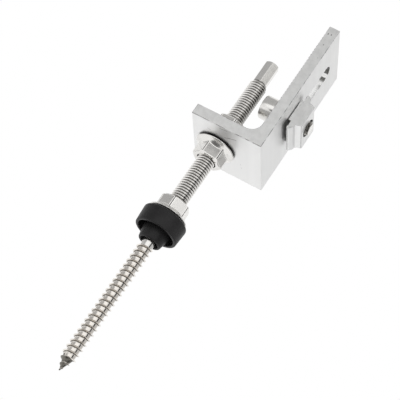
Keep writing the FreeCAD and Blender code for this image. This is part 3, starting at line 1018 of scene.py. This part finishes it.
def angle_from_a_flat(normal):
    """Degrees between a side face's normal and the nearest of the six flats."""
    return abs(math.degrees(math.atan2(normal.y, normal.x)) % 60.0 - 30.0)


round_the_foot(flange_nut, 0.28)
rim_the_sides(flange_nut, 0.24)
# The third finish, near white, is a painted highlight on the rims.
faces_of(flange_nut, nut_steel, painted_dark_steel, rubbed_highlight_steel)
# Painted shade on the slope under the flange's rim, painted dark reflection on the rounded corners, and a
# painted highlight on the rim round each flat.
for face in flange_nut.data.polygons:
    if face.center.z < 1.0 and from_the_axis(face.center) > 8.6 and face.normal.z < -0.1:
        face.material_index = PAINTED_DARK_FACE
    elif is_side_of_nut(face) and angle_from_a_flat(face.normal) > 20.0:
        face.material_index = PAINTED_DARK_FACE
    elif is_side_of_nut(face) and face.area < 0.5 * FLAT_AREA:
        face.material_index = HIGHLIGHTED_RIM
finishes = [face.material_index for face in flange_nut.data.polygons]
print("nut faces:", len(finishes), "oiled:", finishes.count(PAINTED_DARK_FACE), "rubbed:", finishes.count(HIGHLIGHTED_RIM))

# %% [markdown]
# Three of these nuts are on the bolt: one presses the seal, and two hold the foot of the angle between
# their flanges. One is modelled and copied, and each copy is turned as the photograph shows it. The nut on
# the seal gets no painted shade under its rim, so those faces go back to the first finish.

# %% The three nuts in place

def nut_at(name, level, turn, upside_down=False):
    """A copy of the nut with its flange's bearing face at a level."""
    pick(flange_nut)
    bpy.ops.object.duplicate(linked=False)
    nut = bpy.context.object
    nut.name = name
    turns = about("Z", turn) @ about("X", 180 if upside_down else 0)
    place_in_mesh(nut, Matrix.Translation((0, 0, level)) @ turns)
    smooth_with_flat_faces(nut, 32.0)
    return nut


SEAL_TOP = 10.0
FOOT_BOTTOM = 58.0
FOOT_TOP = 64.0
seal_nut = nut_at("nut_on_seal", SEAL_TOP, 33.5)
# The nut on the seal keeps no painted shade under its rim.
for face in seal_nut.data.polygons:
    if face.material_index == PAINTED_DARK_FACE and face.center.z < SEAL_TOP + 2.0:
        face.material_index = CLEAN
on_the_part(seal_nut, "seal_nut")
on_the_part(nut_at("nut_under_foot", FOOT_BOTTOM, 14.5, upside_down=True), "lower_nut")
on_the_part(nut_at("nut_on_foot", FOOT_TOP, 51.5), "upper_nut")
bpy.data.objects.remove(flange_nut, do_unlink=True)

# %% [markdown]
# ## The roof seal
# The seal is a moulded cup with a thick top, a thin rim that presses on the roof sheet and a collar
# that fills the hole in it. It is round all over, so one closed outline spun about the axis makes it. The
# outline already has the soft rounds that a mould gives, drawn with a few points each.

# %% Roof seal

def arc(middle, radius, start, stop, steps):
    """Points on an arc, from one angle to another in degrees."""
    across, up = middle
    angles = [math.radians(start + (stop - start) * number / steps) for number in range(steps + 1)]
    return [(across + radius * math.cos(angle), up + radius * math.sin(angle)) for angle in angles]


seal_outline = [
    (BORE, 9.9),
    (BORE, -5.5),
    *arc((BORE + 0.5, -5.5), 0.5, 180, 270, 3)[1:],
    *arc((5.45, -5.15), 0.85, 270, 352, 5),
    *arc((7.6, -0.4), 0.35, 200, 180, 2),
    (7.25, 0.6),
    *arc((7.85, 5.4), 0.6, 180, 90, 4),
    *arc((9.55, 5.4), 0.6, 90, 0, 4),
    (10.15, 0.5),
    *arc((10.55, 0.4), 0.4, 180, 270, 3)[1:],
    (11.1, 0.0),
    *arc((11.15, 0.6), 0.6, 270, 360, 4)[1:],
    *arc((11.05, 8.8), 1.2, 0, 90, 6),
    (BORE + 0.1, SEAL_TOP),
]
roof_seal = turned("rubber_seal", seal_outline, 128, closed=True)
faces_of(roof_seal, black_rubber)
smoothed(roof_seal, 40.0)
on_the_part(roof_seal, "roof_seal")

# %% [markdown]
# ## The angle bracket
# The angle is one sawn length of extruded bar: a short foot that takes the bolt, a tall leg with a
# slot, and a generous round inside the corner. The die only breaks the sharp corners, so the plain section
# gets a fine round on every edge before anything is cut into it.

# %% Angle section

def extruded(name, points, run):
    """A closed line that is filled and drawn out along a step."""
    piece = drawn_line(name, points, closed=True)
    edit_all(piece)
    bpy.ops.mesh.edge_face_add()
    bpy.ops.mesh.extrude_region_move(TRANSFORM_OT_translate={"value": run})
    leave_edit()
    tidy_faces(piece)
    return piece


def bar_length(name, corners, front, back):
    """A closed section in X and Z, drawn out along Y from front to back."""
    return extruded(name, [(across, front, up) for across, up in corners], (0, back - front, 0))


LEG_TOP = 138.0
LEG_INSIDE = 20.5
LEG_OUTSIDE = 26.5
FOOT_END = -13.5
INSIDE_ROUND = 6.0
BAR_HALF = 22.0
angle_section = [
    (FOOT_END, FOOT_BOTTOM),
    (LEG_OUTSIDE, FOOT_BOTTOM),
    (LEG_OUTSIDE, LEG_TOP),
    (LEG_INSIDE, LEG_TOP),
    *arc((LEG_INSIDE - INSIDE_ROUND, FOOT_TOP + INSIDE_ROUND), INSIDE_ROUND, 0, -90, 14),
    (FOOT_END, FOOT_TOP),
]
angle = bar_length("extruded_angle", angle_section, -BAR_HALF, BAR_HALF)
edges_rounded(angle, 0.28, 2, 30.0)
print("angle:", len(angle.data.polygons), "faces before the cuts")

# %% [markdown]
# Then come the cuts: two rows of teeth that keep the rail nut from sliding, the bolt's hole and the slot.
# Each row is cut with a comb longer than the bar, because the die draws the teeth over the whole width. The
# slot takes one long cutter with round ends. Cutting after the rounding leaves the teeth crisp.

# %% Teeth, hole and slot
BOLT_HOLE = 5.5
SCREW_LEVEL = 91.0
SLOT_HIGH = 124.0
SLOT_RADIUS = 4.5


def groove_comb(name, face, inward, low, count, depth):
    """A row of level ridges that stand on a backing bar outside one face of the leg."""
    back = face - inward * 2.0
    lip = face - inward * 0.06
    corners = [(back, low), (lip, low)]
    for number in range(count):
        corners.append((face + inward * depth, low + 2.0 * number + 1.0))
        corners.append((lip, low + 2.0 * number + 2.0))
    corners.append((back, low + 2.0 * count))
    return bar_length(name, corners, -BAR_HALF - 2.0, BAR_HALF + 2.0)


foot_middle = (0, 0, (FOOT_BOTTOM + FOOT_TOP) / 2)
slot_line = [
    *arc((0.0, SLOT_HIGH), SLOT_RADIUS, 0, 180, 24),
    *arc((0.0, SCREW_LEVEL), SLOT_RADIUS, 180, 360, 24),
]
slot_points = [(18.0, along, up) for along, up in slot_line]
cutters = [
    groove_comb("inner_comb", LEG_INSIDE, 1.0, FOOT_BOTTOM + 28.0, 24, 0.30),
    groove_comb("outer_comb", LEG_OUTSIDE, -1.0, FOOT_BOTTOM + 43.0, 17, 0.08),
    round_bar("bolt_hole", BOLT_HOLE, 10.0, foot_middle),
    extruded("slot_cutter", slot_points, (12.0, 0, 0)),
]
for cutter in cutters:
    combined(angle, cutter, "DIFFERENCE")
print("angle:", len(angle.data.polygons), "faces after the cuts")

# %% [markdown]
# Last come the finishes. The sawn ends look along Y and lie furthest out, and the narrow faces round them
# are the burr. What lies inside the slot or close round the cap screw's axis is a cut. The rail nut is
# sawn off in the same way, so one function sorts the faces of both.

# %% Finishes of the angle
SAWN, BURR, CUT, GROOVED, SHADED_SLOT_END = range(1, 6)
CUTS_LOW, CUTS_HIGH = 84.0, 130.0
SLOT_SHADE_LOW = 126.6
SLOT_CUT_HALF = 4.7
SCREW_CUT_RADIUS = 5.3
BURR_WIDTH = 0.3


def reach_from_screw(piece, face):
    """How far a face reaches from the cap screw's axis."""
    corners = [piece.data.vertices[number].co for number in face.vertices]
    return max(math.hypot(corner.y, corner.z - SCREW_LEVEL) for corner in corners)


def sawn_ends(piece, *materials):
    """Drawn faces, sawn ends, the burr round them and the cut inside, in the order of the materials."""
    faces_of(piece, *materials)
    end = max(vertex.co.y for vertex in piece.data.vertices)
    for face in piece.data.polygons:
        in_the_slot = abs(face.center.y) < SLOT_CUT_HALF and CUTS_LOW < face.center.z < CUTS_HIGH
        if abs(face.normal.y) > 0.99 and abs(face.center.y) > end - 0.01:
            face.material_index = SAWN
        elif abs(face.center.y) > end - BURR_WIDTH and abs(face.normal.y) > 0.05:
            face.material_index = BURR
        elif reach_from_screw(piece, face) < SCREW_CUT_RADIUS and abs(face.normal.x) < 0.9:
            face.material_index = CUT
        elif in_the_slot and abs(face.normal.x) < 0.5:
            face.material_index = CUT


sawn_ends(
    angle, drawn_aluminium, sawn_aluminium, burr_aluminium, milled_aluminium, grooved_aluminium,
    shaded_slot_end_aluminium)
# The grooved inside gets its duller finish, and the slot's cut faces near its top are painted dark as
# painted shade.
for face in angle.data.polygons:
    if face.center.x < LEG_INSIDE + 0.6 and face.normal.x < -0.5 and face.center.z > CUTS_LOW:
        face.material_index = GROOVED
    elif face.material_index == CUT and face.center.z > SLOT_SHADE_LOW:
        face.material_index = SHADED_SLOT_END
smooth_with_flat_faces(angle, 35.0)
on_the_part(angle, "angle_bracket")

# %% [markdown]
# ## The cap screw
# The screw clamps the rail nut through the slot. Its head has a hexagon socket, and its end shows in
# the middle of the rail nut. The thread is painted dark, as painted shade, and tapers away, and the end
# face has the head's finish. The screw is turned and wound upright, like the bolt, and then laid over
# onto the X axis, because the helpers only know the Z axis.

# %% Cap screw
SCREW_LENGTH = 20.0
SCREW_PITCH = 1.25
HEAD_HEIGHT = 8.0
HEAD_SEAT = 16.5
SOCKET_ACROSS = 6.0
screw_outline = mirrored([(3.30, 0.0), (3.34, 0.13), (3.92, 0.53), (3.95, 0.58)], SCREW_PITCH)
screw_thread = wound("screw_thread", screw_outline, SCREW_PITCH, -0.5, SCREW_LENGTH, 40)
radius_changed(screw_thread, lambda radius, level: min(radius, 3.2 + 0.9 * (SCREW_LENGTH - level)))
head = turned("cap_head", [
    (0, -HEAD_HEIGHT),
    (5.6, -HEAD_HEIGHT),
    (6.1, -7.86),
    (6.4, -7.5),
    (6.5, -7.1),
    (6.5, -0.3),
    (6.4, -0.08),
    (6.2, 0.0),
    (0, 0.0),
], 128)
socket = hexagon_bar("socket", SOCKET_ACROSS, 9.0, (0, 0, -HEAD_HEIGHT))
combined(head, socket, "DIFFERENCE")
faces_of(screw_thread, screw_steel, tumbled_steel)
for face in screw_thread.data.polygons:
    if face.normal.z > 0.9 and face.center.z > SCREW_LENGTH - 0.01:
        face.material_index = 1
faces_of(head, tumbled_steel)
smoothed(screw_thread, 30.0)
smoothed(head, 30.0)
join_onto(head, screw_thread)
head.name = "socket_cap_screw"


def laid_along_x(start):
    """The place and turn that lay an upright piece along +X, from a distance along X."""
    return Matrix.Translation((start, 0, SCREW_LEVEL)) @ about("Y", 90)


place_in_mesh(head, laid_along_x(HEAD_SEAT))
on_the_part(head, "cap_screw")

# %% [markdown]
# ## The rail nut
# The rail nut is a second extruded section: a flat boss against the leg, two hooked ears that grip the
# rail's lips, and hollow flanks that lead to a narrow outer face. The flanks meet the ears in a round root,
# and every outer corner is soft. The outline gives the roots as arcs, and a fine bevel softens the rest.
# Only the upper half is drawn, because the lower half is its mirror image.

# %% Rail nut
NUT_FACE = 26.8
RAIL_NUT_HALF = 11.0
rail_half = [
    (0.0, 6.3),
    (0.2, 6.5),
    (1.55, 6.5),
    (1.55, 9.8),
    (1.2, 9.8),
    (1.22, 10.25),
    (1.40, 10.65),
    (1.75, 10.90),
    (2.20, 11.0),
    (2.62, 10.92),
    (2.98, 10.70),
    (4.35, 9.35),
    (4.5, 9.0),
    *arc((6.02, 8.62), 1.5, 180, 222, 4),
    (7.75, 6.55),
    (8.1, 6.1),
]
rail_section = [(NUT_FACE + across, SCREW_LEVEL + up) for across, up in mirrored(rail_half, 0.0)]
rail_nut = bar_length("toothed_rail_nut", rail_section, -RAIL_NUT_HALF, RAIL_NUT_HALF)
edges_rounded(rail_nut, 0.16, 2, 30.0)
screw_hole = turned("screw_hole", [(0, -2.0), (4.0, -2.0), (4.0, 6.6), (5.0, 8.1), (5.0, 10.0), (0, 10.0)])
place_in_mesh(screw_hole, laid_along_x(NUT_FACE))
combined(rail_nut, screw_hole, "DIFFERENCE")
sawn_ends(rail_nut, drawn_aluminium, sawn_aluminium, burr_aluminium, shaded_hole_aluminium)
smooth_with_flat_faces(rail_nut, 35.0)
on_the_part(rail_nut, "rail_nut")

# %% [markdown]
# ## The dressed part's size
# The dressed part's box is printed in millimetres, in the same form as the CAD model's box at the start.

# %% Sizes and finish
dressed_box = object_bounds()
print("dressed part in millimetres:", in_millimetres(dressed_box))
